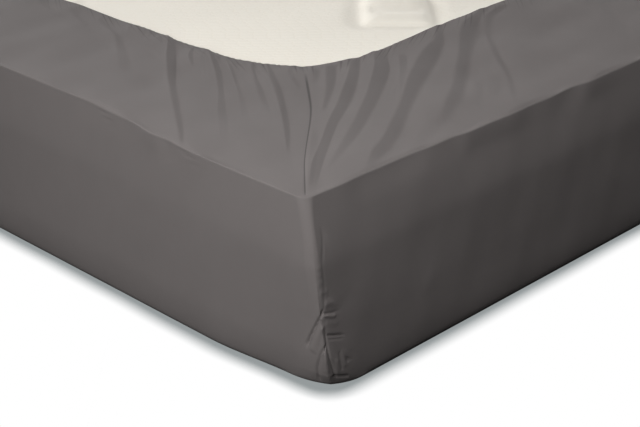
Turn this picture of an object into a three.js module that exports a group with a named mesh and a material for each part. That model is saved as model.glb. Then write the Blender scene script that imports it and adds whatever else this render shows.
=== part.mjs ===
import * as THREE from "three";

// A fitted sheet on a mattress that lies face down: the sheet's panel is underneath, its drops
// stand round the sides, and its elastic hem turns in over the top and leaves the ticking open.
// Millimetres, +Z up, origin on the floor at the middle of the footprint.

const sheetWidth = 1400;
const sheetLength = 2000;
const sheetHeight = 200;
const clothThickness = 2;
const sideGap = 3;
const seatGap = 0.3;

// The hem's outline: its inset from the long and the short sides, and its corner radius.
const hemInset = { long: 215, short: 257 };
const hemRadius = 106;

// Columns of the cloth near a corner: the stretch of each edge that the corner's arc takes, and
// how far the gathers of the hem run ahead of the edge, which is most at gatherReach.
const cornerReach = 48;
const gatherLead = 78;
const gatherReach = 80;

// Rings of the drop from the floor to just under the top edge: their inset from the long and the
// short sides, and their corner radius. lean is how far the cloth's outward face tips up, in
// degrees.
const dropRings = [
  { z: 0, long: 13, short: 13, radius: 36, lean: -90 },
  { z: 4, long: 5, short: 5, radius: 41, lean: -45 },
  { z: 16, long: 2.5, short: 2.5, radius: 42, lean: -4 },
  { z: 66, long: 1.6, short: 1.6, radius: 41, lean: -1.5 },
  { z: 134, long: 0, short: 0, radius: 38, lean: 2 },
  { z: 184, long: 9, short: 13, radius: 34, lean: 13 },
  { z: 194.5, long: 12.5, short: 17, radius: 31, lean: 46 },
];

// Rings of the margin. share is how far they lie from the top edge to the hem, and stand is how
// far the cloth stands off the ticking there between two folds.
const topEdge = { long: 19, short: 24, radius: 28 };
const marginRings = [
  { share: 0, stand: 4 },
  { share: 0.2, stand: 5 },
  { share: 0.45, stand: 4.6 },
  { share: 0.7, stand: 3.8 },
  { share: 0.9, stand: 2.4 },
  { share: 1, stand: 1.4 },
];

// Folds of the margin beside a corner. They run from the hem towards the corner, and one goes
// over the edge. hem and foot are distances along the side from the corner to a fold's two ends,
// footInset is how far in from the edge it ends, and spread is about half its width.
const folds = [
  { side: "long", hem: 706, foot: 612, footInset: 130, depth: 3, spread: 22 },
  { side: "long", hem: 618, foot: 523, footInset: 93, depth: 4, spread: 19 },
  { side: "long", hem: 535, foot: 422, footInset: 121, depth: 5, spread: 17 },
  { side: "long", hem: 431, foot: 161, footInset: -10, depth: 6, spread: 18 },
  { side: "long", hem: 368, foot: 152, footInset: 27, depth: 5, spread: 16 },
  { side: "long", hem: 291, foot: 79, footInset: 44, depth: 5, spread: 15 },
  { side: "short", hem: 285, foot: 29, footInset: 42, depth: 5, spread: 15 },
  { side: "short", hem: 330, foot: 81, footInset: 62, depth: 4, spread: 16 },
  { side: "short", hem: 430, foot: 95, footInset: 31, depth: 5, spread: 18 },
  { side: "short", hem: 522, foot: 230, footInset: 52, depth: 6, spread: 18 },
  { side: "short", hem: 685, foot: 563, footInset: 64, depth: 4, spread: 22 },
];
const footFade = 0.45;
const dropShare = 0.25;
const dropDepth = 1;

// The four corners in order round the sheet. Each has the same gathers, moved along the side and
// made stronger or weaker, so that no two are alike. drawn and full are how far its foot is drawn
// in towards a tuck and its top edge stands out again, both across the long side. step is the
// spacing of its columns up to the distance dense from the corner.
const corners = [
  { x: -1, y: -1, shift: 0, strength: 1, drawn: 11, full: 11, step: 20, dense: 500 },
  { x: 1, y: -1, shift: 14, strength: 0.8, drawn: 5, full: 6, step: 38, dense: 420 },
  { x: 1, y: 1, shift: -11, strength: 0.9, drawn: 7, full: 9, step: 38, dense: 420 },
  { x: -1, y: 1, shift: 8, strength: 0.8, drawn: 4, full: 5, step: 38, dense: 420 },
];
// Where a corner is drawn in and full: the distances from the corner over which that fades, and
// the heights at which it is greatest and gone.
const sways = [
  { amount: "drawn", inward: 1, fades: [30, 160], most: 0, gone: 134 },
  { amount: "full", inward: -1, fades: [110, 350], most: 199, gone: 134 },
];
const swayFade = [60, 180];
const arcStep = 12;
const plainStep = 100;
const mattressReach = 360;

// The mattress inside, from its underside to its open face.
const mattressBase = clothThickness + seatGap;
const seatHeight = sheetHeight - Math.max(...marginRings.map((ring) => ring.stand));
const mattressTop = seatHeight - clothThickness - seatGap;
const mattressSide = clothThickness + sideGap;
const mattressRings = [
  { z: mattressBase, long: 18, short: 18, radius: 30 },
  { z: mattressBase + 5, long: 7, short: 7, radius: 35 },
  { z: mattressBase + 18, long: 2.5, short: 2.5, radius: 37 },
  { z: 66, long: 1.6, short: 1.6, radius: 36 },
  { z: 134, long: 0, short: 0, radius: 33 },
  { z: 178, long: 8, short: 11.5, radius: 30 },
  { z: mattressTop - 4, long: 11.5, short: 16, radius: 28 },
  { z: mattressTop, long: 19, short: 23.5, radius: 25 },
];

const halfSide = { long: sheetLength / 2, short: sheetWidth / 2 };
const otherSide = { long: "short", short: "long" };
const eighthTurn = Math.PI / 4;

// Even stations from one distance up to, but without, another.
function stations(from, to, step) {
  const count = Math.max(1, Math.round((to - from) / step));
  return Array.from({ length: count }, (_, i) => from + ((to - from) * i) / count);
}

// Columns once round, anticlockwise from above. edge is the distance from the corner's middle.
function columnsRound(stationsOf) {
  const columns = [];
  for (const corner of corners) {
    const [arriving, leaving] = corner.x === corner.y ? ["long", "short"] : ["short", "long"];
    const inward = [...stationsOf(corner, arriving), halfSide[arriving]].reverse();
    for (const edge of inward.slice(0, -1)) {
      columns.push({ corner, side: arriving, edge });
    }
    for (const edge of stationsOf(corner, leaving)) {
      columns.push({ corner, side: leaving, edge });
    }
  }
  return columns;
}

function clothStations(corner, side) {
  return [
    ...stations(0, cornerReach, arcStep),
    ...stations(cornerReach, corner.dense, corner.step),
    ...stations(corner.dense, halfSide[side], plainStep),
  ];
}

function mattressStations(corner, side) {
  return [
    ...stations(0, cornerReach, arcStep),
    ...stations(cornerReach, mattressReach, plainStep),
    ...stations(mattressReach, halfSide[side], halfSide[side]),
  ];
}

// A point of a rounded outline: along its side from the corner, and across, in from that side.
// turn is how far the outline has turned there towards the corner's middle.
function outlinePoint({ side, edge }, ring) {
  const across = ring[side];
  const centre = ring[otherSide[side]] + ring.radius;
  if (edge < cornerReach) {
    const turn = eighthTurn * (1 - edge / cornerReach);
    return {
      along: centre - ring.radius * Math.sin(turn),
      across: across + ring.radius * (1 - Math.cos(turn)),
      turn,
    };
  }
  const share = (edge - cornerReach) / (halfSide[side] - cornerReach);
  return { along: centre + share * (halfSide[side] - centre), across, turn: 0 };
}

function hemPoint({ side, edge }) {
  const arc = hemRadius * eighthTurn;
  const centreAlong = hemInset[otherSide[side]] + hemRadius;
  const reach = arc + halfSide[side] - centreAlong;
  const lead = gatherLead * (edge / gatherReach) * Math.exp(1 - edge / gatherReach);
  const travel = Math.min(reach, (reach * edge) / halfSide[side] + lead);
  if (travel < arc) {
    const turn = eighthTurn - travel / hemRadius;
    return {
      along: centreAlong - hemRadius * Math.sin(turn),
      across: hemInset[side] + hemRadius * (1 - Math.cos(turn)),
    };
  }
  return { along: centreAlong + travel - arc, across: hemInset[side] };
}

// How deep the folds are at a place beside a corner. A place on the drop has a negative distance
// in from the edge.
function foldDepth(corner, { side, along, across }) {
  const from = { [side]: across, [otherSide[side]]: along };
  let depth = 0;
  for (const fold of folds) {
    const hem = new THREE.Vector2(fold.hem + corner.shift, hemInset[fold.side]);
    const foot = new THREE.Vector2(fold.foot + corner.shift, fold.footInset);
    const place = new THREE.Vector2(from[otherSide[fold.side]], from[fold.side]);
    const run = foot.clone().sub(hem);
    const share = THREE.MathUtils.clamp(place.clone().sub(hem).dot(run) / run.lengthSq(), 0, 1);
    const gap = place.distanceTo(hem.addScaledVector(run, share));
    depth += fold.depth * (1 - footFade * share) * Math.exp(-((gap / fold.spread) ** 2));
  }
  return depth * corner.strength;
}

// How far a corner is drawn in or stands out at a place, across its long side.
function swayAt(corner, fromLong, fromShort, z) {
  const inside = 1 - THREE.MathUtils.smoothstep(fromLong, ...swayFade);
  let moved = 0;
  for (const sway of sways) {
    const near = 1 - THREE.MathUtils.smoothstep(fromShort, ...sway.fades);
    const high = THREE.MathUtils.clamp((z - sway.gone) / (sway.most - sway.gone), 0, 1);
    moved += sway.inward * corner[sway.amount] * near * high * inside;
  }
  return moved;
}

// From distances beside a corner to the part's own frame.
function worldPoint({ corner, side }, { along, across }, z) {
  const fromLong = side === "long" ? across : along;
  const fromShort = side === "long" ? along : across;
  const swayed = fromLong + swayAt(corner, fromLong, fromShort, z);
  return new THREE.Vector3(corner.x * (halfSide.short - swayed), corner.y * (halfSide.long - fromShort), z);
}

// A ring of the drop, moved inwards by the folds that reach it and by depthIn, the cloth's own
// thickness for its inner face.
function dropRing(columns, ring, depthIn) {
  const lean = THREE.MathUtils.degToRad(ring.lean);
  return columns.map((column) => {
    const { along, across, turn } = outlinePoint(column, ring);
    const place = { side: column.side, along, across: ring.z - seatHeight };
    const sunk = Math.min(dropDepth, dropShare * foldDepth(column.corner, place));
    const inwards = (depthIn + sunk) * Math.cos(lean);
    return worldPoint(
      column,
      { along: along + inwards * Math.sin(turn), across: across + inwards * Math.cos(turn) },
      ring.z - depthIn * Math.sin(lean),
    );
  });
}

// A ring of the margin, which the folds press down towards the ticking.
function marginRing(columns, ring, depthIn) {
  return columns.map((column) => {
    const edge = outlinePoint(column, topEdge);
    const hem = hemPoint(column);
    const place = {
      side: column.side,
      along: THREE.MathUtils.lerp(edge.along, hem.along, ring.share),
      across: THREE.MathUtils.lerp(edge.across, hem.across, ring.share),
    };
    const stand = ring.stand * Math.exp(-foldDepth(column.corner, place) / ring.stand);
    return worldPoint(column, place, seatHeight + stand - depthIn);
  });
}

// One closed body from rings in order, with a flat cap on the first and on the last.
function closedSkin(rings) {
  const count = rings[0].length;
  const last = rings.length - 1;
  const points = rings.flat();
  const capStart = points.push(new THREE.Vector3(0, 0, rings[0][0].z)) - 1;
  const capEnd = points.push(new THREE.Vector3(0, 0, rings[last][0].z)) - 1;
  const index = [];
  for (let i = 0; i < count; i += 1) {
    const next = (i + 1) % count;
    index.push(capStart, next, i);
    for (let ring = 0; ring < last; ring += 1) {
      const low = ring * count;
      const high = low + count;
      index.push(low + i, low + next, high + next);
      index.push(low + i, high + next, high + i);
    }
    index.push(capEnd, last * count + i, last * count + next);
  }
  const geometry = new THREE.BufferGeometry().setFromPoints(points);
  geometry.setIndex(index);
  geometry.computeVertexNormals();
  return geometry;
}

// The sheet: up its outer face from the panel to the hem, and back down its inner face.
function fittedSheet() {
  const columns = columnsRound(clothStations);
  const face = (depthIn) => [
    ...dropRings.map((ring) => dropRing(columns, ring, depthIn)),
    ...marginRings.map((ring) => marginRing(columns, ring, depthIn)),
  ];
  const geometry = closedSkin([...face(0), ...face(clothThickness).reverse()]);
  const material = new THREE.MeshStandardMaterial({ color: 0x6e6a68, roughness: 0.85, metalness: 0 });
  const mesh = new THREE.Mesh(geometry, material);
  mesh.name = "fitted_sheet";
  return mesh;
}

function mattress() {
  const columns = columnsRound(mattressStations);
  const rings = mattressRings.map(({ z, long, short, radius }) => {
    const outline = { long: mattressSide + long, short: mattressSide + short, radius };
    return columns.map((column) => worldPoint(column, outlinePoint(column, outline), z));
  });
  const material = new THREE.MeshStandardMaterial({ color: 0xf0e8dc, roughness: 0.9, metalness: 0 });
  const mesh = new THREE.Mesh(closedSkin(rings), material);
  mesh.name = "mattress";
  return mesh;
}

const group = new THREE.Group();
group.add(fittedSheet());
group.add(mattress());

export default group;
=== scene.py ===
import math

import bpy
import numpy as np
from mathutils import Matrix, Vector


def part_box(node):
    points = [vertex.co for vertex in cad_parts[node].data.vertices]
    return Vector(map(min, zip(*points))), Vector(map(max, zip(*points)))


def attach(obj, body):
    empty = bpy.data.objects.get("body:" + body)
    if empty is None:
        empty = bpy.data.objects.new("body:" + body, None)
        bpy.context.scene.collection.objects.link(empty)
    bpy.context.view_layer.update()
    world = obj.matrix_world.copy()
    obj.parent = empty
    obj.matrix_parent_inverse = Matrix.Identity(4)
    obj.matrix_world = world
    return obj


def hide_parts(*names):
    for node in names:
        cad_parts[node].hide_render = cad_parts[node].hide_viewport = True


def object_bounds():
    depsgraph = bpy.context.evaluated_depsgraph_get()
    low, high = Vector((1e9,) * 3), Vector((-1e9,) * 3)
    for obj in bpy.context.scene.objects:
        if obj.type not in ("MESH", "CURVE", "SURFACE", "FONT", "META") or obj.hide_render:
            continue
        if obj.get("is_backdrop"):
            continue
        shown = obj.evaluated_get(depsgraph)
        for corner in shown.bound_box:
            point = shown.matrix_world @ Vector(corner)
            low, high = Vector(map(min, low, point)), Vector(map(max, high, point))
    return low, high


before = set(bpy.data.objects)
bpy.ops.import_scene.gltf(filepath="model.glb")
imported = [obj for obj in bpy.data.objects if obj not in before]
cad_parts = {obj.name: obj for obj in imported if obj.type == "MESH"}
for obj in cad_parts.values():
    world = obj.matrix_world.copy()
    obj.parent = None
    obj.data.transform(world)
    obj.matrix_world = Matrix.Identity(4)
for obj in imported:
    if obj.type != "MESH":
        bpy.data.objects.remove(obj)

cad_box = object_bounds()
mm = 0.001

# ------------------------------------------------------------------------------------------------
# The fitted sheet: one cut of fine dark cotton, its four corners sewn up and its edge gathered on
# elastic. It is drawn over a mattress that lies face down, so its panel is on the floor, its drops
# stand round the sides, and its hem turns in over the top. The shape is worked out in millimetres.

sheet_low, sheet_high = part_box("fitted_sheet")
half_long = (sheet_high[1] - sheet_low[1]) / 2 / mm
half_short = (sheet_high[0] - sheet_low[0]) / 2 / mm
ticking_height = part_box("mattress")[1][2] / mm
cloth_thickness = 1.6
hem_thickness = 2.2

# Where the hem lies: its inset from the long and the short sides, its corner radius, how much of
# that arc is on the long side of the corner seam, and how it drifts inwards away from the corner.
hem_inset_long = 213.5
hem_inset_short = 253
hem_radius = 116
seam_turn = math.radians(50)
hem_drift_long = 0.014
hem_drift_short = 0.08
# The corner seam draws the hem out towards the corner, and bows a little on its way there.
seam_pull = 6
seam_pull_reach = 20
seam_bow = 2.2
seam_bow_reach = 70

# The section of the cloth from under the mattress to the top edge: height above the floor, and
# insets of the long and the short sides from the outer box.
drop_section = [
    (0, 300, 300),
    (0, 60, 60),
    (0, 6, 6),
    (0.5, 3.8, 3.4),
    (3, 2.4, 1.6),
    (6, 1.6, 0.9),
    (10, 0.8, 0.4),
    (15, 0, 0),
    (20, -0.6, -0.2),
    (30, -1.2, -0.2),
    (40, -1.3, 0.2),
    (75, 0.9, 2.1),
    (134, 4.7, 6.5),
    (140, 5.4, 7.3),
    (150, 7, 9.2),
    (160, 8.7, 11.4),
    (170, 10.4, 13.8),
    (180, 12.1, 16.4),
    (190, 13.7, 18.9),
    (198.8, 15.2, 21.1),
    (199.4, 15.7, 21.7),
    (199.6, 19, 25),
]
# The corners' shape in plan: height, how far the corner seam lies in from the long side and from
# the short side, and how far each of them has turned when it gets there, in degrees. Low down the
# two meet in a crease.
corner_section = [
    (0, 13, 12, 34, 40),
    (8, 9.5, 8, 30, 34),
    (20, 6, 4, 22, 24),
    (40, 4, 1.5, 16, 15),
    (64, 3.2, 1.5, 14, 14),
    (80, 3, 1.5, 14, 16),
    (95, 2.7, 1.3, 20, 22),
    (110, 2.7, 1.3, 26, 28),
    (130, 3.3, 1.5, 34, 32),
    (145, 3.7, 1.5, 38, 36),
    (159, 3.8, 1.3, 42, 38),
    (175, 4, 1.3, 44, 40),
    (184, 4, 1.8, 45, 42),
    (192, 4, 2.5, 45, 45),
    (200, 4.2, 3.2, 45, 45),
]
# Rows of the grid along the section: from, to and step, in millimetres of cloth, and how many are
# taken together away from the front corner.
drop_rows = [
    (0, 225, 115, 1), (225, 285, 20, 1), (285, 297, 2.4, 1), (297, 393, 1.35, 4), (393, 441, 2, 3),
    (441, 477, 3, 2), (477, 489, 2.4, 1), (489, 0, 0.8, 1),
]
# Steps of the grid over the margin, which get shorter towards the hem.
margin_steps = 47
margin_crowding = 1.25
# Height of the margin's face above the ticking, by the share of the way to the hem.
margin_section = [(0, 6.9), (0.12, 7.2), (0.3, 7.0), (0.55, 5.9), (0.8, 4.6), (0.93, 4.0), (1, 3.6)]

# The four corners in order round the sheet: the signs of x and y, the side that each is reached
# by, its steps of the grid and how many of the middle ones are taken together on the drop, and how
# its gathers differ from those of the corner at the front.
front = {"steps": (1.3, 2.4, 9), "group": 3, "dense": 480, "spread": 1}
far = {"steps": (6, 8, 30), "group": 1, "dense": 340, "spread": 1.5}
corners = [
    {"sign": (-1, -1), "by": "long", "shift": 0, "strength": 1, **front},
    {"sign": (1, -1), "by": "short", "shift": 14, "strength": 0.8, **far},
    {"sign": (1, 1), "by": "long", "shift": -11, "strength": 0.9, **far},
    {"sign": (-1, 1), "by": "short", "shift": 8, "strength": 0.75, **far},
]
# How far from a seam the columns go round its corner's arc, and stay finest. At the hem the columns
# are drawn on by the lead at most, at its reach, to lie closer to the folds there.
arc_reach = 30
fine_reach = 39
gather_lead = 45
gather_reach = 80


def stations(start, stop, step, group=1):
    """Even places from start up to stop, in groups, and which of them start a group."""
    count = group * max(1, round((stop - start) / step / group))
    return np.linspace(start, stop, count, endpoint=False), np.arange(count) % group == 0


def stations_of(corner, side_half):
    """Places of the columns from a corner to the middle of a side, and which of them start a group."""
    fine, middle, coarse = corner["steps"]
    parts = [
        stations(0, fine_reach, fine),
        stations(fine_reach, corner["dense"], middle, corner["group"]),
        stations(corner["dense"], side_half, coarse),
    ]
    return [np.concatenate(values) for values in zip(*parts)]


column_edge, column_long, column_corner, column_kept = [], [], [], []
for number, corner in enumerate(corners):
    halves = (half_long, half_short) if corner["by"] == "long" else (half_short, half_long)
    inward, inward_kept = stations_of(corner, halves[0])
    outward, outward_kept = stations_of(corner, halves[1])
    column_edge += [[halves[0]], inward[:0:-1], outward]
    column_kept += [[True], inward_kept[:0:-1], outward_kept]
    column_long += [np.full(len(inward), corner["by"] == "long")]
    column_long += [np.full(len(outward), corner["by"] != "long")]
    column_corner += [np.full(len(inward) + len(outward), number)]
column_edge = np.concatenate(column_edge)
column_kept = np.concatenate(column_kept)
column_long = np.concatenate(column_long)
column_corner = np.concatenate(column_corner)
column_half = np.where(column_long, half_long, half_short)
column_sign = np.array([corner["sign"] for corner in corners])[column_corner]
column_count = len(column_edge)


def outline(height, inset_long, inset_short):
    """Every column's distance along its side and in from it at a height, and how far round it is
    from the seam of its corner."""
    seam_long, seam_short, turn_long, turn_short = (
        np.interp(height, corner_heights, values) for values in corner_shape
    )
    across = np.where(column_long, inset_long, inset_short)
    seam_across = np.where(column_long, seam_long, seam_short)
    seam_along = np.where(column_long, inset_short + seam_short, inset_long + seam_long)
    full_turn = np.radians(np.where(column_long, turn_long, turn_short))
    radius = seam_across / (1 - np.cos(full_turn))
    turn = np.clip(1 - column_edge / arc_reach, 0, None) * full_turn
    share = np.clip((column_edge - arc_reach) / (column_half - arc_reach), 0, None)
    straight = share * (column_half - seam_along - radius * np.sin(full_turn))
    along = seam_along + radius * (np.sin(full_turn) - np.sin(turn)) + straight
    return along, across + radius * (1 - np.cos(turn)), (full_turn - turn) * radius + straight


# The elastic puckers the hem: distances round the hem from the seam where a short fold starts.
# The spacings are the closest, the widest and how many.
pucker_random = np.random.default_rng(11)
pucker_spacings = {"long": (5, 12, 38), "short": (7, 15, 14)}
puckers = {side: np.cumsum(pucker_random.uniform(*spacing)) for side, spacing in pucker_spacings.items()}
scallop_depth = {"long": 2.4, "short": 0.9}


def scallops(travel, side):
    """How far the hem stands out between its puckers."""
    places = puckers[side]
    after = np.clip(np.searchsorted(places, travel), 1, len(places) - 1)
    share = (travel - places[after - 1]) / (places[after] - places[after - 1])
    fade = np.clip(1 - travel / places[-1], 0, 1)
    return scallop_depth[side] * fade * (np.sin(math.pi * np.clip(share, 0, 1)) - 0.5)


def hem_outline():
    """Every column's distance along its side and in from it at the hem, and how far round the hem
    it is from its corner's seam."""
    inset = np.where(column_long, hem_inset_long, hem_inset_short)
    centre_along = np.where(column_long, hem_inset_short, hem_inset_long) + hem_radius
    full_turn = np.where(column_long, seam_turn, math.pi / 2 - seam_turn)
    arc = hem_radius * full_turn
    reach = arc + column_half - centre_along
    lead = gather_lead * (column_edge / gather_reach) * np.exp(1 - column_edge / gather_reach)
    travel = np.minimum(reach, reach * column_edge / column_half + lead)
    turn = np.clip(full_turn - travel / hem_radius, 0, None)
    past = np.clip(travel - arc, 0, None)
    drift = np.where(column_long, hem_drift_long, hem_drift_short)
    drift = drift * (past - past**3 / (3 * (reach - arc) ** 2))
    pulled = hem_radius + seam_pull * np.exp(-((travel / seam_pull_reach) ** 2))
    standing = np.where(column_long, scallops(travel, "long"), scallops(travel, "short"))
    pulled -= standing * (column_corner == 0)
    along = centre_along - pulled * np.sin(turn) + past
    return along, inset + hem_radius - pulled * np.cos(turn) + drift, travel


def rise(x):
    """A smooth step from 0 to 1."""
    x = np.clip(x, 0, 1)
    return x * x * (3 - 2 * x)


# Rows of the drop. The section's bends are softened, though hardly at its foot and its top edge:
# the windows of that are in steps of the fine section.
section_step = 0.5
sharp_reach = 4
sharp_fade = 16
edge_window = 5
face_window = 33
corner_heights, *corner_shape = np.array(corner_section, float).T
section = np.array(drop_section, float)
section_legs = np.hypot(np.diff(section[:, 0]), np.diff(section[:, 2]))
section_run = np.concatenate([[0], np.cumsum(section_legs)])
foot_run, top_run = section_run[3], section_run[-2]
fine_run = np.arange(0, section_run[-1], section_step)
fine_section = np.stack([np.interp(fine_run, section_run, section[:, k]) for k in range(3)], 1)
softening = rise((fine_run - foot_run - sharp_reach) / sharp_fade)
softening = softening * rise((top_run - sharp_reach - fine_run) / sharp_fade)
for size, share in ((edge_window, 1 - softening), (face_window, softening)):
    window = np.hanning(size) / np.hanning(size).sum()
    padded = np.pad(fine_section, ((size // 2, size // 2), (0, 0)), "edge")
    soft = np.stack([np.convolve(padded[:, k], window, "valid") for k in range(3)], 1)
    fine_section += (soft - fine_section) * share[:, None]
drop_rows[-1] = (drop_rows[-1][0], section_run[-1], *drop_rows[-1][2:])
row_run, row_kept = (np.concatenate(values) for values in zip(*(stations(*row) for row in drop_rows)))
row_section = np.stack([np.interp(row_run, fine_run, fine_section[:, k]) for k in range(3)], 1)
edge_height, edge_long, edge_short = section[-1]

# Every grid point: distance in from the long side and from the short side of its corner, height,
# its place on the cloth laid out flat there, and how far round it is from its corner's middle. On
# a drop the place in from the edge is negative.
grid_rows = []
side_sign = np.where(column_long, -1, 1)


def add_row(row_height, along, across, laid, around):
    """Adds a row of the grid from every column's places, laid being how far in it is when flat."""
    grid_rows.append([
        np.where(column_long, across, along),
        np.where(column_long, along, across),
        np.full(column_count, row_height),
        np.where(column_long, laid, along),
        np.where(column_long, along, laid),
        side_sign * around,
    ])


for run, (row_height, inset_long, inset_short) in zip(row_run, row_section):
    along, across, around = outline(row_height, inset_long, inset_short)
    laid = np.where(column_long, edge_long, edge_short) - (section_run[-1] - run)
    add_row(row_height, along, across, laid, around)
drop_count = len(row_run)
edge_along, edge_across, edge_around = outline(edge_height, edge_long, edge_short)
hem_along, hem_across, hem_travel = hem_outline()
margin_shares = 1 - (1 - np.linspace(0, 1, margin_steps + 1)) ** margin_crowding
for share in margin_shares:
    bow = seam_bow * math.sin(math.pi * share) * np.exp(-((column_edge / seam_bow_reach) ** 2)) * side_sign
    along = edge_along + share * (hem_along - edge_along) + bow
    across = edge_across + share * (hem_across - edge_across) - bow
    stand = np.interp(share, *zip(*margin_section))
    add_row(ticking_height + stand, along, across, across, edge_around)
grid_values = (np.array(values) for values in zip(*grid_rows))
in_long, in_short, height, flat_long, flat_short, round_corner = grid_values
on_margin = np.arange(len(height)) >= drop_count
row_kept = np.append(row_kept, np.full(margin_steps + 1, True))
row_share = np.append(np.full(drop_count, -1), margin_shares)

# Beside each corner the foot of the long side is drawn in towards the tuck, and its top stands out
# again: the share of that at each corner, the distances from the corner over which it fades, and
# how far in at what height.
draws = [
    ((1, 0.5, 0.7, 0.4), (40, 160), [(0, 10), (134, 0), (200, 0)]),
    ((1, 0.43, 0.64, 0.36), (130, 380), [(0, 0), (134, -8.7), (200, -16.3)]),
]
draw_inside = (60, 180)
# The top edge wavers where folds go over it: distances from the corner, and how far in it is.
# That comes in with the height, and fades out over the margin.
waver_start = 172
waver_rise = 26
waver_reach = 70
edge_wavers = {
    "long": [(150, 0), (177, 0), (212, 1.5), (239, -1.7), (279, 1.2), (312, 0.5), (349, 1), (382, 0)],
    "short": [
        (30, 0), (60, 0), (89, 1.6), (145, 2), (171, 0.6), (202, 1.2), (226, -1.8), (260, -1.4),
        (289, -2), (326, -0.3), (359, -0.8), (399, 1.4), (426, -2.2), (467, -0.8), (505, -0.6), (540, 0),
    ],
}


def eased(x, table):
    """Values of a table of places and values, with smooth steps between its places."""
    places, values = np.array(table, float).T
    after = np.clip(np.searchsorted(places, x), 1, len(places) - 1)
    share = rise((x - places[after - 1]) / (places[after] - places[after - 1]))
    return values[after - 1] + (values[after] - values[after - 1]) * share


def swayed(points):
    """How far the corners draw points of the frame in from the long sides, in millimetres."""
    shift = 0
    for number, corner in enumerate(corners):
        sign_x, sign_y = corner["sign"]
        from_long = half_short - sign_x * points[..., 0]
        from_short = half_long - sign_y * points[..., 1]
        inside = 1 - rise((from_long - draw_inside[0]) / (draw_inside[1] - draw_inside[0]))
        for shares, (whole, none), by_height in draws:
            near = 1 - rise((from_short - whole) / (none - whole))
            amount = shares[number] * np.interp(points[..., 2], *zip(*by_height))
            shift = shift - sign_x * amount * near * inside
    return shift


def to_frame(long_in, short_in, up):
    """From distances beside each column's corner to the part's own frame, in millimetres."""
    return np.stack([
        column_sign[:, 0] * (half_short - long_in),
        column_sign[:, 1] * (half_long - short_in),
        up,
    ], -1)


def face_normals(points):
    """Directions in which the cloth's outer face points at each place of the grid."""
    round_step = np.roll(points, -1, 1) - np.roll(points, 1, 1)
    up_step = np.gradient(points, axis=0)
    normal = np.cross(round_step, up_step)
    return normal / np.maximum(np.linalg.norm(normal, axis=-1, keepdims=True), 1e-9)


base = to_frame(in_long, in_short, height)
moved_long = -column_sign[:, 0] * swayed(base)
waver = np.where(column_long, eased(in_short, edge_wavers["long"]), eased(in_long, edge_wavers["short"]))
inside = np.where(column_long, in_long - edge_long, in_short - edge_short)
waver *= rise((height - waver_start) / waver_rise) * (1 - rise(inside / waver_reach))
moved_long += np.where(column_long, waver, 0)
moved_short = np.where(column_long, 0, waver)
base = to_frame(in_long + moved_long, in_short + moved_short, height)
base_normal = face_normals(base)
flat_long += np.where(on_margin[:, None], moved_long, moved_long[drop_count])
flat_short += np.where(on_margin[:, None], moved_short, moved_short[drop_count])

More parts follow.
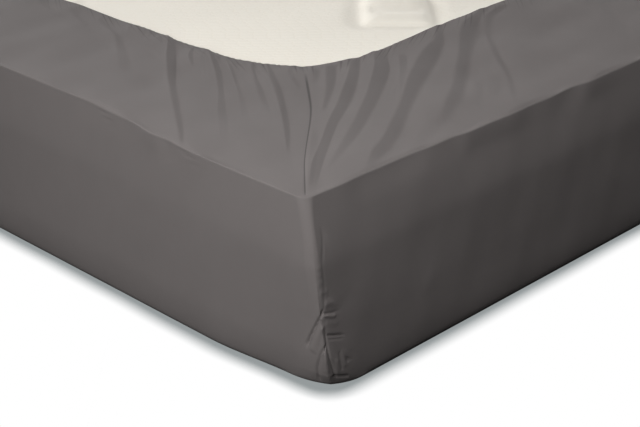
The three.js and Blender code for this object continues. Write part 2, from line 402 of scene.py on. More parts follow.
# Folds of the margin beside a corner, from the hem towards the corner. A fold is a band of cloth
# that faces away from the corner's long side, between a ridge and a hollow. Its columns are the
# band's steepness at the hem and at its foot, and its line: in from the long side, in from the
# short side, and half the band's width. A band of negative steepness faces the other way.
folds = [
    # at hem, at foot, line
    (0.26, 0.17, [(197, 684, 3.5), (190, 673, 3), (183, 653, 3.5), (173, 610, 2.5)]),
    (0.29, 0.22, [(200, 623, 2.5), (187, 598, 2.5), (170, 556, 2)]),
    (0.31, 0.05, [(194, 556, 2), (176, 513, 3), (166, 493, 3.5), (129, 438, 6), (93, 390, 7)]),
    (0.27, 0.22, [(202, 464, 2), (193, 445, 2.5)]),
    (-0.17, -0.17, [(172, 482, 1.6), (168, 457, 1.6), (166, 432, 1.6), (155, 405, 1.6)]),
    (0.37, 0.29, [
        (202, 440, 5), (172, 406, 5.5), (144, 372, 5), (117, 340, 4), (71, 279, 3.5), (30, 224, 2.6),
        (14, 204, 2), (4, 190, 2),
    ]),
    (0.31, 0.22, [(204, 407, 1.5), (186, 389, 2.5), (168, 365, 1.5)]),
    (0.34, 0.05, [
        (208, 379, 2.5), (177, 334, 3.5), (155, 306, 3.2), (130, 276, 3), (97, 238, 4), (39, 169, 4),
    ]),
    (0.22, 0.07, [(191, 326, 1.6), (152, 273, 2), (125, 237, 3), (98, 205, 4)]),
    (0.31, 0.07, [(208, 311, 1.6), (193, 292, 2), (174, 267, 2.5), (149, 232, 3.5), (126, 203, 4)]),
    (0.31, 0.31, [
        (213, 288, 3), (194, 263, 3.5), (179, 241, 4), (143, 196, 3.5), (105, 152, 3), (68, 112, 1.6),
    ]),
    (0.24, 0.17, [(216, 257, 1.6), (207, 242, 2), (198, 228, 1.5)]),
    (0.32, 0.26, [(240, 284, 2), (222, 266, 1.6)]),
    (0.24, 0.14, [(251, 256, 3.5), (232, 238, 3.5), (218, 227, 2.5)]),
    (0.10, 0.12, [(108, 116, 3), (71, 82, 3.5), (44, 57, 3), (26, 41, 2)]),
    (0.29, 0.19, [(265, 247, 6), (239, 222, 5.5), (217, 202, 4), (191, 181, 3), (169, 164, 2)]),
    (0.29, 0.26, [
        (290, 235, 5.5), (262, 211, 6), (203, 167, 6.5), (150, 132, 5), (106, 100, 4.5), (65, 70, 5),
        (29, 40, 3.5),
    ]),
    (0.26, 0.19, [
        (329, 231, 7.5), (301, 205, 8.5), (241, 161, 7.5), (194, 130, 6.5), (146, 100, 5.5), (65, 56, 2),
    ]),
    (0.15, 0.09, [(349, 217, 4.5), (317, 188, 3.5), (270, 150, 2)]),
    (0.26, 0.25, [
        (444, 244, 3.5), (419, 224, 6), (395, 211, 8.5), (362, 192, 10.5), (301, 156, 9), (247, 120, 6.5),
        (158, 64, 6.5), (124, 48, 5.5), (91, 29, 3.5),
    ]),
    (0.29, 0.22, [
        (533, 257, 4.5), (504, 244, 8), (469, 221, 9.5), (406, 175, 7), (343, 129, 6.5), (295, 95, 7),
        (224, 55, 4.5),
    ]),
    (0.07, 0.07, [(222, 62, 6), (206, 53, 8.5), (176, 38, 6.5), (152, 26, 5)]),
    (0.25, 0.20, [
        (555, 251, 5), (534, 243, 5), (490, 209, 3), (429, 149, 3.5), (378, 91, 3), (327, 44, 2.5),
    ]),
    (0.09, 0.09, [(341, 102, 4), (316, 81, 3.5), (286, 60, 3)]),
    (0.06, 0.06, [(367, 103, 6.5), (342, 81, 6.5), (312, 59, 5)]),
    (0.20, 0.20, [(652, 221, 1.8), (606, 173, 2), (572, 134, 1.6)]),
    (0.12, 0.25, [
        (690, 190, 5), (662, 162, 4.5), (623, 126, 4), (604, 104, 3), (578, 81, 2), (543, 51, 1.8),
    ]),
]


def through(path, count=48):
    """A smooth curve through a path's points, evenly spaced along it, and its length."""
    points = np.array(path, float)
    ends = np.concatenate([[2 * points[0] - points[1]], points, [2 * points[-1] - points[-2]]])
    curve = []
    for before, start, stop, after in zip(ends, ends[1:], ends[2:], ends[3:]):
        t = np.linspace(0, 1, 16, endpoint=False)[:, None]
        bend = 2 * before - 5 * start + 4 * stop - after
        twist = 3 * start - before - 3 * stop + after
        curve.append(0.5 * (2 * start + (stop - before) * t + bend * t**2 + twist * t**3))
    curve = np.concatenate(curve + [points[-1:]])
    run = np.concatenate([[0], np.cumsum(np.linalg.norm(np.diff(curve[:, :2], axis=0), axis=1))])
    even = np.linspace(0, run[-1], count)
    return np.stack([np.interp(even, run, values) for values in curve.T], 1), run[-1]


def beside(path, places, reach):
    """For the places near a path: which they are, their share along it, how far they are to its
    left as it is followed, and the path's third value there."""
    curve, length = through(path)
    line = curve[:, :2]
    near = ((places > line.min(0) - reach) & (places < line.max(0) + reach)).all(-1).nonzero()[0]
    offset = places[near, None] - line[None]
    closest = (offset**2).sum(-1).argmin(1)
    heading = np.gradient(line, axis=0)
    heading /= np.linalg.norm(heading, axis=1, keepdims=True)
    gap = offset[np.arange(len(near)), closest]
    ahead = heading[closest]
    aside = ahead[:, 0] * gap[:, 1] - ahead[:, 1] * gap[:, 0]
    forward = closest / (len(curve) - 1) + (gap * ahead).sum(1) / length
    return near, forward, aside, curve[closest, 2]


# A fold reaches past both ends of its line, by shares of its length, and its ridge and its hollow
# level out beside the band.
fold_lead = 0.12
fold_lead_fade = 0.06
fold_end = 1.06
fold_reach = 20
reach_per_width = 6
tail_per_width = 1.5


def fold_heights(places, line, at_hem, at_foot, spread, foot_end=0.16, tail=6):
    """Height that one fold gives to each place, fading out over shares of its length at its ends."""
    widest = max(point[2] for point in line) * spread
    near, forward, aside, half = beside(line, places, fold_reach + reach_per_width * widest)
    half = half * spread
    band = np.clip(aside / half, -1, 1)
    form = -band * np.exp(-np.clip(np.abs(aside) - half, 0, None) / (tail + tail_per_width * half))
    steepness = at_hem + (at_foot - at_hem) * rise(forward)
    fade = rise((forward + fold_lead) / fold_lead_fade) * rise((fold_end - forward) / foot_end)
    heights = np.zeros(len(places))
    heights[near] = steepness * half * form * fade
    return heights


def at_corner(number, where, first, second):
    """Which places of the grid are at a corner, and their two values there."""
    mine = where & (column_corner == number)
    return mine, np.stack([first[mine], second[mine]], 1)


lift = np.zeros(height.shape)
for number, corner in enumerate(corners):
    mine, places = at_corner(number, height >= 0, flat_long, flat_short)
    shift, strength, spread = corner["shift"], corner["strength"], corner["spread"]
    heights = np.zeros(len(places))
    for at_hem, at_foot, line in folds:
        by_x, by_y = (shift, 0) if line[0][0] > line[0][1] else (0, shift)
        moved = [(x + by_x, y + by_y, half) for x, y, half in line]
        heights += fold_heights(places, moved, at_hem * strength, at_foot * strength, spread)
    lift[mine] += heights

# Short folds from the hem's puckers, drawn at random between these limits.
gather_slant = (0.9, 1.8)
gather_length = (14, 40)
gather_half = (1.4, 2.4)
gather_steepness = (0.1, 0.3)
gather_fading = 0.6
gather_overlap = 2


def gathers(spread):
    """A line in from the hem and a steepness for each."""
    inner = np.array([hem_inset_long + hem_radius, hem_inset_short + hem_radius])
    for side, places in puckers.items():
        full = seam_turn if side == "long" else math.pi / 2 - seam_turn
        for travel in places[::1 if spread == 1 else 2]:
            turn = full - travel / hem_radius
            facing = np.array([math.cos(turn), math.sin(turn)]) if turn > 0 else np.array([1.0, 0.0])
            start = inner - hem_radius * facing - np.array([0, 1]) * min(turn, 0) * hem_radius
            slant = pucker_random.uniform(*gather_slant)
            length = pucker_random.uniform(*gather_length)
            stop = start - (facing + slant * np.array([0, 1])) * length
            middle = (start + stop) / 2 + np.array([0, slant])
            half = pucker_random.uniform(*gather_half)
            fading = 1 - gather_fading * travel / places[-1]
            steepness = pucker_random.uniform(*gather_steepness) * fading
            line = np.array([start + gather_overlap * facing, middle, stop])
            if side == "short":
                line = line[:, ::-1] + (hem_inset_long - hem_inset_short) * np.array([1, -1])
                steepness = -steepness
            yield [(*point, half) for point in line], steepness


for number, corner in enumerate(corners):
    mine, places = at_corner(number, on_margin[:, None], flat_long, flat_short)
    spread = corner["spread"]
    heights = np.zeros(len(places))
    for line, steepness in gathers(spread):
        heights += fold_heights(places, line, steepness, steepness / 2, spread, foot_end=0.8, tail=0)
    lift[mine] += heights

# Slow unevenness of stretched cloth: less on the drop, and leaning a little with the height.
wave_offset = 1.7
wave_rise = 23
drop_wave_share = 0.6
waves = [
    # length, heading in degrees, size
    (170, 20, 0.5),
    (120, 68, 0.4),
    (86, 131, 0.35),
    (61, 97, 0.22),
    (47, 160, 0.15),
]
wave_share = np.where(on_margin, 1, drop_wave_share)[:, None]
for number, (length, degrees, size) in enumerate(waves):
    heading = math.radians(degrees)
    phase = (base[..., 0] * math.cos(heading) + base[..., 1] * math.sin(heading)) / length * 2 * math.pi
    lift += size * np.sin(phase + wave_offset * number + base[..., 2] / wave_rise) * wave_share

# The tuck at the foot of the corner seam and the small creases above it: ridges and hollows by
# their place round the corner from the seam and their height above the floor. The other corners
# have weaker and wider ones.
tuck_reach = 340
far_tuck_share = 0.45
far_tuck_widening = 2
floor_clear = 0.5
tuck = [
    # size, width, path of (round from the seam, height)
    (-0.5, (1.0, 1.1), [(11, 169), (11.5, 160), (10.5, 154), (9, 146), (8, 138)]),
    (-0.25, (1.2, 1.4), [(8, 138), (8, 122), (7, 106), (5, 94)]),
    (-2.6, (1.1, 1.5), [(4, 93), (-4, 80), (-11, 68), (-17, 57), (-21, 48)]),
    (1.2, (2, 4), [(2, 78), (-4, 68), (-11, 53), (-14, 44)]),
    (0.9, (3.4, 3.4), [(6, 98), (14, 97), (22, 93)]),
    (-1.0, (1.0, 1.0), [(3, 89), (10, 87.5), (15, 86), (20, 86)]),
    (0.9, (1.5, 1.6), [(3, 87), (9.5, 84.5), (18, 81)]),
    (0.3, (3, 3), [(5, 79), (20, 73)]),
    (-1.5, (1.0, 1.0), [(4, 66), (15, 62), (28, 57.5)]),
    (-0.7, (0.9, 0.9), [(5, 61.5), (16, 57.5), (27, 53.5)]),
    (-1.1, (1.1, 1.2), [(3, 72), (3, 60), (3.5, 46), (5, 30), (7, 12)]),
    (-1.9, (1.1, 1.3), [(3, 57), (-3, 48), (-8, 36), (-11, 22), (-10, 8)]),
    (1.0, (1.8, 2.2), [(-1, 50), (-1, 38), (-1, 24)]),
    (0.5, (2.2, 2.6), [(12, 38), (9, 20)]),
    (-0.6, (1.3, 1.4), [(17, 44), (15, 22)]),
    (0.4, (2.4, 2.4), [(21, 44), (20, 24)]),
    (-1.2, (1.3, 1.3), [(26, 42), (24, 28)]),
    (-1.6, (1.4, 1.4), [(3, 19), (10, 16), (20, 12)]),
    (-0.8, (1.3, 1.2), [(34, 112), (33, 99), (30, 88), (26, 84)]),
    (0.35, (1.5, 1.5), [(2, 149), (7, 147)]),
    (0.35, (1.5, 1.5), [(1, 136), (6, 135)]),
    (0.35, (1.5, 1.5), [(1, 129), (6, 127)]),
    (0.35, (1.5, 1.5), [(1, 121), (7, 120)]),
    (0.45, (1.6, 1.6), [(2, 111), (12, 109)]),
]
# Wrinkles of the two sides in front, by the same places.
side_wrinkles = [
    (0.6, (2, 2), [(112, 54), (113, 41)]),
    (0.6, (2, 2), [(92, 33), (96, 24)]),
    (0.7, (2, 2.4), [(146, 80), (148, 61)]),
    (0.5, (2, 2), [(156, 78), (158, 66)]),
    (0.6, (2, 2), [(266, 78), (267, 68)]),
    (-0.8, (1.6, 1.8), [(-168, 197), (-158, 194), (-149, 186), (-143, 178)]),
    (-0.8, (1.4, 1.4), [(-303, 197), (-294, 190), (-286, 183)]),
]
# A ridge fades out at its ends by shares of its length, and is left out past some of its widths.
ridge_end = 0.18
ridge_overrun = 0.05
ridge_reach = 4


def ridge_heights(places, path, size, width):
    """Height that one ridge or hollow gives to each place, fading out at its ends."""
    near, forward, aside, _ = beside([(*point, 0) for point in path], places, ridge_reach * max(width))
    wide = width[0] + (width[1] - width[0]) * np.clip(forward, 0, 1)
    starts = rise((forward + ridge_overrun) / ridge_end)
    ends = rise((1 + ridge_overrun - forward) / ridge_end)
    heights = np.zeros(len(places))
    heights[near] = size * np.exp(-((aside / wide) ** 2)) * starts * ends
    return heights


on_drop = ~on_margin[:, None] & (height > floor_clear) & (np.abs(round_corner) < tuck_reach)
for number, corner in enumerate(corners):
    mine, places = at_corner(number, on_drop, round_corner, height)
    heights = np.zeros(len(places))
    share, widening = (1, 1) if number == 0 else (far_tuck_share, far_tuck_widening)
    for size, (start_width, end_width), path in tuck:
        wider = (widening * start_width, widening * end_width)
        heights += ridge_heights(places, path, size * share, wider)
    if number == 0:
        for size, width, path in side_wrinkles:
            heights += ridge_heights(places, path, size, width)
    lift[mine] += heights

# The seam goes on over the margin to the hem, as a shallow groove that is wider on the coarser
# mesh of the other corners.
groove_depth = 0.2
groove_width = 1.4
far_groove_width = 4
from_seam = np.array(round_corner)
for number, corner in enumerate(corners):
    middle = np.argmax((column_edge == 0) & (column_corner == number))
    gap = side_sign * np.linalg.norm(base - base[:, middle][:, None], axis=-1)
    from_seam = np.where(on_margin[:, None] & (column_corner == number), gap, from_seam)
    wide = groove_width if number == 0 else far_groove_width
    lift -= groove_depth * np.exp(-((gap / wide) ** 2)) * on_margin[:, None] * (column_corner == number)

# Nothing is lifted where the cloth lies on the floor.
floor_fade = 8
shaped = base + base_normal * (lift * rise(height / floor_fade))[..., None]

# The hem lies on the ticking, and no part of the margin goes through it.
hem_clearance = 0.2
give = 0.5
lowest = ticking_height + hem_thickness + hem_clearance
over = (shaped[..., 2] - lowest) / give
softened = lowest + give * np.where(over > 20, over, np.log1p(np.exp(np.clip(over, -50, 20))))
shaped[..., 2] = np.where(on_margin[:, None], softened, shaped[..., 2])
shaped[..., 2] = np.maximum(shaped[..., 2], 0)

# The hem's rounded rim, by how far out and how far down its rings lie, and then the cloth's inner
# face on a coarser grid, with the hem's thickness in its last rows.
hem_rows = 4
normal = face_normals(shaped)
rim_out = shaped[-1] - shaped[-2]
rim_out[:, 2] = 0
rim_out /= np.linalg.norm(rim_out, axis=1, keepdims=True)
rim_rings = [
    shaped[-1] + rim_out * out + np.array([0, 0, -down * hem_thickness])
    for out, down in ((0.7, 0.12), (1.0, 0.5), (0.7, 0.88))
]
inner_step = 4
inner_rows = np.concatenate([[0], np.arange(2, len(shaped) - 1, inner_step), [len(shaped) - 1]])
inner_columns = np.arange(0, column_count - column_count % inner_step, inner_step)
thickness = np.where(np.arange(len(shaped)) > len(shaped) - hem_rows, hem_thickness, cloth_thickness)
inner = (shaped - normal * thickness[:, None, None])[inner_rows][:, inner_columns]
outer = np.concatenate([shaped, rim_rings])


def ring_faces(index):
    """Four-sided faces between the rows of a grid whose rows are closed rings."""
    following = np.roll(index, -1, 1)
    return np.stack([index[:-1], following[:-1], following[1:], index[1:]], -1).reshape(-1, 4).tolist()


def fan(ring, middle):
    """Triangles between a closed ring of points and one in its middle."""
    return [[middle, after, here] for here, after in zip(ring, np.roll(ring, -1))]


def block_outline(bottom, top, left, right):
    """Rows and columns of a grid's points in order round a block of its cells."""
    loop = [(bottom, column) for column in range(left, right)]
    loop += [(row, right) for row in range(bottom, top)]
    loop += [(top, column) for column in range(right, left, -1)]
    return loop + [(row, left) for row in range(top, bottom, -1)]


# Cells of the outer face, as first and last row and column. Away from the front corner the drop's
# cells are taken together, and a face then goes through every point that its neighbours have.
kept_rows = np.flatnonzero(row_kept)
kept_columns = np.append(np.flatnonzero(column_kept), column_count)
fine_columns = (column_corner == 0) & (column_edge < fine_reach - 1)
cells = []
for low, high in zip(kept_rows, kept_rows[1:]):
    for first, last in zip(kept_columns, kept_columns[1:]):
        row_lines = range(low, high + 1) if fine_columns[first] else (low, high)
        column_lines = range(first, last + 1) if low >= drop_count - 1 else (first, last)
        for bottom, top in zip(row_lines, row_lines[1:]):
            cells += [(bottom, top, left, right) for left, right in zip(column_lines, column_lines[1:])]
in_use = np.zeros(shaped.shape[:2], bool)
bottoms, tops, lefts, rights = np.array(cells).T
for row in (bottoms, tops):
    for column in (lefts, rights % column_count):
        in_use[row, column] = True
outer_index = np.arange(outer[..., 0].size).reshape(outer.shape[:2])
sheet_faces = []
for cell in cells:
    loop = [(row, column % column_count) for row, column in block_outline(*cell)]
    sheet_faces.append([outer_index[place] for place in loop if in_use[place]])
sheet_faces += ring_faces(outer_index[len(shaped) - 1:])
inner_index = outer_index.size + np.arange(inner[..., 0].size).reshape(inner.shape[:2])
under_middle = outer_index.size + inner_index.size
sheet_faces += [face[::-1] for face in ring_faces(inner_index)]
for place, (here, after) in enumerate(zip(outer_index[-1], np.roll(outer_index[-1], -1))):
    sheet_faces.append([here, after, inner_index[-1, min(place // inner_step, len(inner_columns) - 1)]])
for place, (here, after) in enumerate(zip(inner_index[-1], np.roll(inner_index[-1], -1))):
    rim_place = inner_columns[(place + 1) % len(inner_columns)]
    sheet_faces.append([outer_index[-1, rim_place], after, here])
sheet_faces += fan(outer_index[0, np.flatnonzero(column_kept)], under_middle)
for here, after in zip(inner_index[0], np.roll(inner_index[0], -1)):
    sheet_faces.append([under_middle + 1, here, after])
sheet_points = np.concatenate([
    outer.reshape(-1, 3), inner.reshape(-1, 3), [[0, 0, 0], [0, 0, cloth_thickness]],
]) * mm


def with_inside(on_outer, on_inside):
    """Values of all the sheet's points from those of the grid, whose last row the rim repeats, and
    those of the inner face and the panel's two middles."""
    rim = [on_outer[-1:]] * len(rim_rings)
    return np.concatenate([np.concatenate([on_outer, *rim]).reshape(-1, 2), on_inside])


# Places that the cloth's materials read: on the cloth laid out flat, beside the corner seam with
# the share of the way to the hem, and round and in from the hem. The inside is far from both.
far_from_seam = 99.0
far_from_hem = 999.0
inside_count = inner_index.size + 2
laid_flat = to_frame(flat_long, flat_short, height)[..., :2]
laid_inside = laid_flat[inner_rows][:, inner_columns].reshape(-1, 2)
seam_places = np.stack([from_seam, np.broadcast_to(row_share[:, None], height.shape)], -1)
hem_gap = np.linalg.norm(base - base[-1], axis=-1)
hem_places = np.stack([np.broadcast_to(side_sign * hem_travel, height.shape), hem_gap], -1)
cloth_values = {
    "cloth_mm": with_inside(laid_flat, np.concatenate([laid_inside, np.zeros((2, 2))])),
    "seam_mm": with_inside(seam_places, np.full((inside_count, 2), far_from_seam)),
    "hem_mm": with_inside(hem_places, np.full((inside_count, 2), far_from_hem)),
}
used, renumbered = np.unique(np.concatenate(sheet_faces), return_inverse=True)
face_ends = np.cumsum([len(face) for face in sheet_faces])[:-1]
sheet_faces = [face.tolist() for face in np.split(renumbered, face_ends)]


def in_scene(name, data):
    """A new object at the origin."""
    thing = bpy.data.objects.new(name, data)
    bpy.context.scene.collection.objects.link(thing)
    return thing


sheet_mesh = bpy.data.meshes.new("fitted_sheet_cloth")
sheet_mesh.from_pydata(sheet_points[used].tolist(), [], sheet_faces)
sheet_mesh.shade_smooth()
loop_points = np.zeros(len(sheet_mesh.loops), int)
sheet_mesh.loops.foreach_get("vertex_index", loop_points)
for name, values in cloth_values.items():
    layer = sheet_mesh.uv_layers.new(name=name)
    layer.uv.foreach_set("vector", values[used][loop_points].ravel())
sheet_piece = in_scene("fitted_sheet_cloth", sheet_mesh)


class Reading:
    """A value somewhere on a surface. Its operators add the Math nodes that work them out, and
    take a reading on their left."""

    def __init__(self, tree, socket):
        self.tree = tree
        self.socket = socket

    def node(self, kind, inputs=None, output=0, **settings):
        """Adds another kind of node: its settings first, then the values or links of its sockets."""
        node = self.tree.nodes.new("ShaderNode" + kind)
        for setting, value in settings.items():
            setattr(node, setting, value)
        for name, value in (inputs or {}).items():
            if isinstance(value, Reading):
                self.tree.links.new(value.socket, node.inputs[name])
            else:
                node.inputs[name].default_value = value
        return Reading(self.tree, node.outputs[output])

    def math(self, operation, *values):
        return self.node("Math", dict(enumerate(values)), operation=operation)

    def part(self, axis):
        return self.node("SeparateXYZ", {"Vector": self}, output=axis)

    def ranged(self, low, high, to_low=0.0, to_high=1.0):
        """The value stretched from one range to another, and held at its ends."""
        ends = {"From Min": low, "From Max": high, "To Min": to_low, "To Max": to_high}
        return self.node("MapRange", {"Value": self, **ends})

    def between(self, first, second):
        """The colour that goes from the first to the second as the value goes from 0 to 1."""
        return self.node("Mix", {"Factor": self, 6: first, 7: second}, output=2, data_type="RGBA")

    def __add__(self, other):
        return self.math("ADD", self, other)

    def __sub__(self, other):
        return self.math("SUBTRACT", self, other)

    def __mul__(self, other):
        return self.math("MULTIPLY", self, other)

    def __truediv__(self, other):
        return self.math("DIVIDE", self, other)

    def feed(self, shader, name):
        self.tree.links.new(self.socket, shader.inputs[name])


def new_material(name, finish):
    """A material, its shader with what is the same all over, and a start for readings."""
    material = bpy.data.materials.new(name)
    material.use_nodes = True
    shader = material.node_tree.nodes["Principled BSDF"]
    for socket, value in finish.items():
        shader.inputs[socket].default_value = value
    return material, shader, Reading(material.node_tree, None)


# Fine plain weave: threads both ways along the cloth, a little uneven, and slow patches of tone.
thread_pitch = 0.9
waves_per_unit = 0.31416
weave_depth = 0.00012
cloth_grey = (0.189, 0.172, 0.168, 1)
cloth_grey_dark = (0.171, 0.155, 0.151, 1)
cotton_finish = {
    "Roughness": 0.9, "Specular IOR Level": 0.12, "Sheen Weight": 0.02, "Sheen Roughness": 0.5,
}
cloth, cloth_shader, cloth_nodes = new_material("dark_cotton", cotton_finish)
on_cloth = cloth_nodes.node("UVMap", uv_map="cloth_mm")
threads = {"Vector": on_cloth, "Scale": waves_per_unit / thread_pitch, "Distortion": 0.6, "Detail": 1.0}
thread_along = on_cloth.node("TexWave", threads, output=1, bands_direction="X")
thread_across = on_cloth.node("TexWave", threads, output=1, bands_direction="Y")
slub = on_cloth.node("TexNoise", {"Vector": on_cloth, "Scale": 0.35, "Detail": 3.0, "Roughness": 0.65})
patch = on_cloth.node("TexNoise", {"Vector": on_cloth, "Scale": 0.03, "Detail": 3.0, "Roughness": 0.6})
weave = (thread_along + thread_across) * 0.3 + slub * 0.8
weave.node("Bump", {"Height": weave, "Distance": weave_depth, "Strength": 1.0}).feed(cloth_shader, "Normal")
tone = slub * 0.35 + patch * 0.65
plain_tone = tone.between(cloth_grey_dark, cloth_grey)
# The corner seam over the margin gets a line of painted shade, in millimetres from the seam. It gets wider
# towards the hem and stops short of it.
seam_shade_darkness = 0.62
seam_shade_grey = (0.05, 0.047, 0.046, 1)
on_seam = cloth_nodes.node("UVMap", uv_map="seam_mm")
seam_gap = on_seam.part("X")
seam_share = on_seam.part("Y")
seam_gap = seam_gap.math("ABSOLUTE", seam_gap)
seam_starts = seam_share.ranged(-0.02, 0.02)
seam_stops = seam_share.ranged(0.93, 0.84)
seam_width = seam_share.ranged(0.35, 0.75, 0.7, 1.6)
seam_shade_line = (seam_gap / seam_width).ranged(1.3, 0.4)
seam_shade_line = seam_shade_line * seam_starts * seam_stops
# The seam's line of painted shade darkens the cloth's own tone.
seamed_tone = (seam_shade_line * seam_shade_darkness).between(plain_tone, seam_shade_grey)
# The hem's puckers get painted shade where they are drawn tight, and its folded edge gets a thin line of
# painted shade.
# The puckers lean to the corner as they leave the hem, and the short side has others than the long side.
pucker_shade_darkness = 0.45
pucker_width = 6
short_side_offset = 37
hem_edge_shade_darkness = 0.8
hem_shade_grey = (0.045, 0.04, 0.036, 1)
on_hem = cloth_nodes.node("UVMap", uv_map="hem_mm")
along_hem = on_hem.part("X")
from_hem = on_hem.part("Y")
from_corner = along_hem.math("ABSOLUTE", along_hem)
on_short_side = along_hem.math("GREATER_THAN", along_hem, 0.0)
slant = from_corner.ranged(40.0, 170.0, 0.0, 0.8)
slanted = from_corner + from_hem * slant + on_short_side * short_side_offset
pucker_places = {"W": slanted / pucker_width, "Scale": 1.0, "Detail": 1.0}
pucker = slanted.node("TexNoise", pucker_places, noise_dimensions="1D")
pucker_shade = pucker.ranged(0.54, 0.68)
pucker_reach = pucker.ranged(0.54, 0.75, 8, 45)
pucker_fade = (from_hem / pucker_reach).ranged(1.0, 0.2)
corner_fade = from_corner.ranged(520.0, 260.0)
hem_edge_shade = from_hem.ranged(1.6, 0.6)
hem_shade = pucker_shade * pucker_fade * corner_fade * pucker_shade_darkness
hem_shade = hem_shade.math("MAXIMUM", hem_shade, hem_edge_shade * hem_edge_shade_darkness)
# The painted shade of the puckers and of the hem's edge darkens the cloth's colour here.
hem_shade.between(seamed_tone, hem_shade_grey).feed(cloth_shader, "Base Color")
sheet_mesh.materials.append(cloth)

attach(sheet_piece, "root")
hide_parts("fitted_sheet")

# ------------------------------------------------------------------------------------------------
# The mattress: a foam block in knitted ticking, face down, so its underside shows inside the hem.
# The ticking is quilted to the foam in raised pads with a shallow hollow, set far apart. Its sides
# and its corners are out of sight under the sheet. It is worked out in millimetres too.

bed_height = 2.6
edge_rolls = [
    # height, insets of the long and short sides from the sheet's outer face, corner radius
    (bed_height, 22, 22, 28),
    (bed_height + 2, 12, 12, 31),
    (bed_height + 8, 7, 6.5, 34),
    (22, 4.5, 4.5, 36),
    (45, 3.6, 5, 36),
    (80, 5.6, 7, 36),
    (134, 9, 11, 33),
    (148, 11, 13.5, 32),
    (162, 14, 16.5, 30),
    (178, 17.5, 21, 28),
    (187, 21, 25, 26),
    (ticking_height - 1.2, 26, 31, 24),
]
top_inset_long = 34
top_inset_short = 42
top_radius = 20

# Grid of the upper face: coarse under the sheet's margin, and fine where it shows and a little way
# under the hem.
fine_step = 6
under_hem = 20
margin_long = hem_inset_long - under_hem
margin_short = hem_inset_short - under_hem


def lines_across(half, hidden, inset):
    """Places of the grid's lines from one edge of the face to the other."""
    inner = half - hidden
    fine = np.linspace(-inner, inner, round(2 * inner / fine_step) + 1)
    edge = half - inset
    coarse = np.concatenate([[0, 7, 14, top_radius], np.linspace(top_radius, edge - inner, 8)[1:-1]])
    return np.concatenate([-edge + coarse, fine, (edge - coarse)[::-1]])


top_reach_x = half_short - top_inset_long - top_radius
top_reach_y = half_long - top_inset_short - top_radius
top_x, top_y = np.meshgrid(
    lines_across(half_short, margin_long, top_inset_long),
    lines_across(half_long, margin_short, top_inset_short),
)
into_x = np.clip(np.abs(top_x) - top_reach_x, 0, None) / top_radius
into_y = np.clip(np.abs(top_y) - top_reach_y, 0, None) / top_radius
top_x -= np.sign(top_x) * top_radius * into_x * (1 - np.sqrt(1 - into_y**2 / 2))
top_y -= np.sign(top_y) * top_radius * into_y * (1 - np.sqrt(1 - into_x**2 / 2))

# The knit runs slantwise, and the pads are square to it, staggered from row to row. Places are
# measured from the corner at the front: along the rows of the knit, and away from the corner.
knit_turn = math.radians(-45.3)
pad_first = (93, 585)
pad_pitch = (440, 400)
pad_half = (44, 56)
pad_corner = 9
pad_rise = 4.2
hollow_half = (37, 19)
hollow_corner = 8
hollow_depth = 2.4
pad_edge = 9
hollow_edge = 8
valley_width = 26
valley_depth = 2.6


def round_box(along, away, half, corner):
    """Distance from the edge of a rectangle with round corners, negative inside it."""
    over_along = np.abs(along) - half[0] + corner
    over_away = np.abs(away) - half[1] + corner
    outside = np.hypot(np.clip(over_along, 0, None), np.clip(over_away, 0, None))
    return outside + np.minimum(np.maximum(over_along, over_away), 0) - corner


from_front_x = top_x + half_short
from_front_y = top_y + half_long
along_knit = from_front_x * math.cos(knit_turn) + from_front_y * math.sin(knit_turn)
away_knit = -from_front_x * math.sin(knit_turn) + from_front_y * math.cos(knit_turn)
pad_row = np.round((away_knit - pad_first[1]) / pad_pitch[1])
pad_stagger = np.where(pad_row % 2, pad_pitch[0] / 2, 0)
pad_place = (along_knit - pad_first[0] - pad_stagger) / pad_pitch[0]
along_pad = (pad_place - np.round(pad_place)) * pad_pitch[0]
away_pad = away_knit - pad_first[1] - pad_row * pad_pitch[1]
from_pad = round_box(along_pad, away_pad, pad_half, pad_corner)
from_hollow = round_box(along_pad, away_pad + 1, hollow_half, hollow_corner)
quilt = pad_rise * rise(-from_pad / pad_edge) - hollow_depth * rise(-from_hollow / hollow_edge)
quilt -= valley_depth * rise(1 - np.abs(from_pad) / valley_width)
# The face is crowned and ripples a little, and it is level under the hem.
crown_height = 1.2
crown_reach = 160
ripple_size = 0.5
level_reach = 40
inside_long = half_short - np.abs(top_x) - hem_inset_long
inside_short = half_long - np.abs(top_y) - hem_inset_short
edge_distance = np.minimum(inside_long, inside_short)
crown = crown_height * rise(edge_distance / crown_reach)
ripple = ripple_size * np.sin(along_knit / 37 + 1.3 * np.sin(away_knit / 61)) * np.sin(away_knit / 43)
top_z = ticking_height + (quilt + crown + ripple) * rise(edge_distance / level_reach)

# The edge's rows below the face: the same number of points as the face's rim, in order round it.
rows_y, rows_x = top_x.shape
rim_order = block_outline(0, rows_y - 1, 0, rows_x - 1)
rim_rows, rim_columns = np.array(rim_order).T
rim_x, rim_y = top_x[rim_rows, rim_columns], top_y[rim_rows, rim_columns]


def moved_out(inset_long, inset_short, radius):
    """The rim's points on an outline with other insets and another corner radius."""
    over_x = np.clip(np.abs(rim_x) - top_reach_x, 0, None) / top_radius
    over_y = np.clip(np.abs(rim_y) - top_reach_y, 0, None) / top_radius
    inner_x = np.clip(np.abs(rim_x) / top_reach_x, 0, 1) * (half_short - inset_long - radius)
    inner_y = np.clip(np.abs(rim_y) / top_reach_y, 0, 1) * (half_long - inset_short - radius)
    return np.sign(rim_x) * (inner_x + over_x * radius), np.sign(rim_y) * (inner_y + over_y * radius)


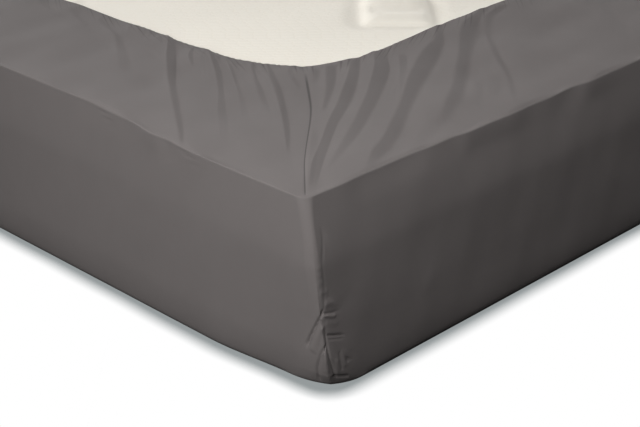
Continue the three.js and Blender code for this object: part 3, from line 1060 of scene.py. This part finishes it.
mattress_points = [np.stack([top_x, top_y, top_z], -1).reshape(-1, 3)]
for roll_height, inset_long, inset_short, radius in reversed(edge_rolls):
    x, y = moved_out(inset_long, inset_short, radius)
    mattress_points.append(np.stack([x, y, np.full(len(x), roll_height)], -1))
mattress_points.append(np.array([[0, 0, bed_height]]))
mattress_points = np.concatenate(mattress_points)
mattress_points[:, 0] += swayed(mattress_points)
face_index = np.arange(rows_x * rows_y).reshape(rows_y, rows_x)
mattress_faces = np.stack(
    [face_index[:-1, :-1], face_index[:-1, 1:], face_index[1:, 1:], face_index[1:, :-1]], -1
).reshape(-1, 4).tolist()
rings = [face_index[rim_rows, rim_columns]]
for ring in range(len(edge_rolls)):
    rings.append(face_index.size + ring * len(rim_order) + np.arange(len(rim_order)))
mattress_faces += [face[::-1] for face in ring_faces(np.array(rings))]
under = len(mattress_points) - 1
mattress_faces += fan(rings[-1], under)

mattress_mesh = bpy.data.meshes.new("mattress_in_ticking")
mattress_mesh.from_pydata(
    (mattress_points * mm).tolist(), [], [[int(point) for point in face] for face in mattress_faces]
)
mattress_mesh.shade_smooth()
mattress_piece = in_scene("mattress_in_ticking", mattress_mesh)

# Rows of the knit, with short raised stitches in each, in metres.
stitch_row = 0.0056
stitch_length = 0.016
knit_depth = 0.0004
cream = (0.97, 0.91, 0.80, 1)
light_cream = (0.99, 0.95, 0.86, 1)
knit_finish = {"Roughness": 0.9, "Specular IOR Level": 0.2, "Sheen Weight": 0.1}
ticking, ticking_shader, ticking_nodes = new_material("knitted_ticking", knit_finish)
on_ticking = ticking_nodes.node("TexCoord", output="Object")
turned = on_ticking.node("Mapping", {"Vector": on_ticking, "Rotation": (0, 0, -knit_turn)})
run = turned.part("X")
cross = turned.part("Y")
row_number = (cross / stitch_row).math("FLOOR", cross / stitch_row)
in_row = (cross / stitch_row) - row_number
chance = row_number.node("TexWhiteNoise", {"W": row_number}, output="Value", noise_dimensions="1D")
stitch_place = run / stitch_length + chance * 3
in_stitch = stitch_place - stitch_place.math("FLOOR", stitch_place)
across_stitch = in_row.math("PINGPONG", in_row, 0.5) * 2
along_stitch = in_stitch.math("PINGPONG", in_stitch, 0.5) * 2
stitch = across_stitch.math("SMOOTH_MIN", across_stitch, along_stitch * 2.5, 0.3)
loops = on_ticking.node("TexNoise", {"Vector": on_ticking, "Scale": 900.0, "Detail": 2.0})
worn = on_ticking.node("TexNoise", {"Vector": on_ticking, "Scale": 14.0, "Detail": 3.0})
knit_relief = stitch + loops * 0.35
knit_bump = {"Height": knit_relief, "Distance": knit_depth, "Strength": 0.4}
knit_relief.node("Bump", knit_bump).feed(ticking_shader, "Normal")
ticking_tone = stitch * 0.45 + worn * 0.35 + loops * 0.2
ticking_tone.between(cream, light_cream).feed(ticking_shader, "Base Color")
mattress_mesh.materials.append(ticking)

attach(mattress_piece, "root")
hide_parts("mattress")

# ------------------------------------------------------------------------------------------------
# The studio: a floor that shines white by itself, a lamp above and to the left of the front corner,
# one overhead, one behind the far end, a small one beyond the far long side, and the camera, which
# looks at the front corner.

floor_size = 30
shadow_reach = 0.0225
shadow_grey = (0.30, 0.325, 0.33, 1)
world_strength = 0.02
bpy.ops.object.select_all(action="DESELECT")
bpy.ops.mesh.primitive_plane_add(size=floor_size, location=(0, 0, 0))
floor = bpy.context.object
floor.name = "floor"
floor.visible_diffuse = False
floor.visible_glossy = False
# The floor's glow is a little darker close to whatever stands on it: a painted contact shadow.
floor_finish = {
    "Base Color": (0, 0, 0, 1), "Specular IOR Level": 0, "Roughness": 1, "Emission Strength": 1.0,
}
floor_paint, floor_shader, floor_nodes = new_material("lit_floor", floor_finish)
open_sky = floor_nodes.node("AmbientOcclusion", {"Distance": shadow_reach}, output="AO", samples=16)
open_sky.ranged(0.5, 0.97).between(shadow_grey, (1, 1, 1, 1)).feed(floor_shader, "Emission Color")
floor.data.materials.append(floor_paint)
floor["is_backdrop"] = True

world = bpy.data.worlds.new("studio")
bpy.context.scene.world = world
world.use_nodes = True
world.node_tree.nodes["Background"].inputs["Color"].default_value = (1, 1, 1, 1)
world.node_tree.nodes["Background"].inputs["Strength"].default_value = world_strength

front_corner = Vector((-half_short, -half_long, ticking_height)) * mm
lamps = [
    # name, place from the front corner at the ticking's height, way it faces, size, power in watts
    ("side_lamp", (-0.85, -0.13, 0.59), (1.1, 0.43, -0.59), 1.2, 14.7),
    ("overhead_lamp", (0.35, -0.43, 1.87), (-0.1, 0.73, -1.87), 1.6, 18.2),
    ("back_lamp", (0.49, 3.98, 0.70), (-0.24, -3.68, -0.7), 1.0, 102),
    ("far_side_lamp", (3.4, 1.0, 0.1), (-1, 0, 0), 0.18, 30),
]
for name, place, way, size, power in lamps:
    lamp_data = bpy.data.lights.new(name, "AREA")
    lamp_data.shape = "DISK"
    lamp_data.size = size
    lamp_data.energy = power
    lamp = in_scene(name, lamp_data)
    lamp.visible_camera = False
    lamp.location = front_corner + Vector(place)
    lamp.rotation_euler = Vector(way).to_track_quat("-Z", "Y").to_euler()

# The camera's place is beyond the front corner, by how far out both ways and how high up.
camera_lens = 83.25
camera_sensor = 36
camera_out_x = 0.8337
camera_out_y = 0.8183
camera_height = 0.7402
camera_way = (0.64509, 0.63533, -0.42451)
camera_data = bpy.data.cameras.new("camera")
camera_data.lens = camera_lens
camera_data.sensor_width = camera_sensor
camera = in_scene("camera", camera_data)
camera.location = (-half_short * mm - camera_out_x, -half_long * mm - camera_out_y, camera_height)
camera.rotation_euler = Vector(camera_way).to_track_quat("-Z", "Y").to_euler()
bpy.context.scene.camera = camera
bpy.context.scene.view_settings.view_transform = "Standard"

boxes = {"cad": cad_box, "visual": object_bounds()}
boxes = {name: [list(map(float, corner)) for corner in box] for name, box in boxes.items()}
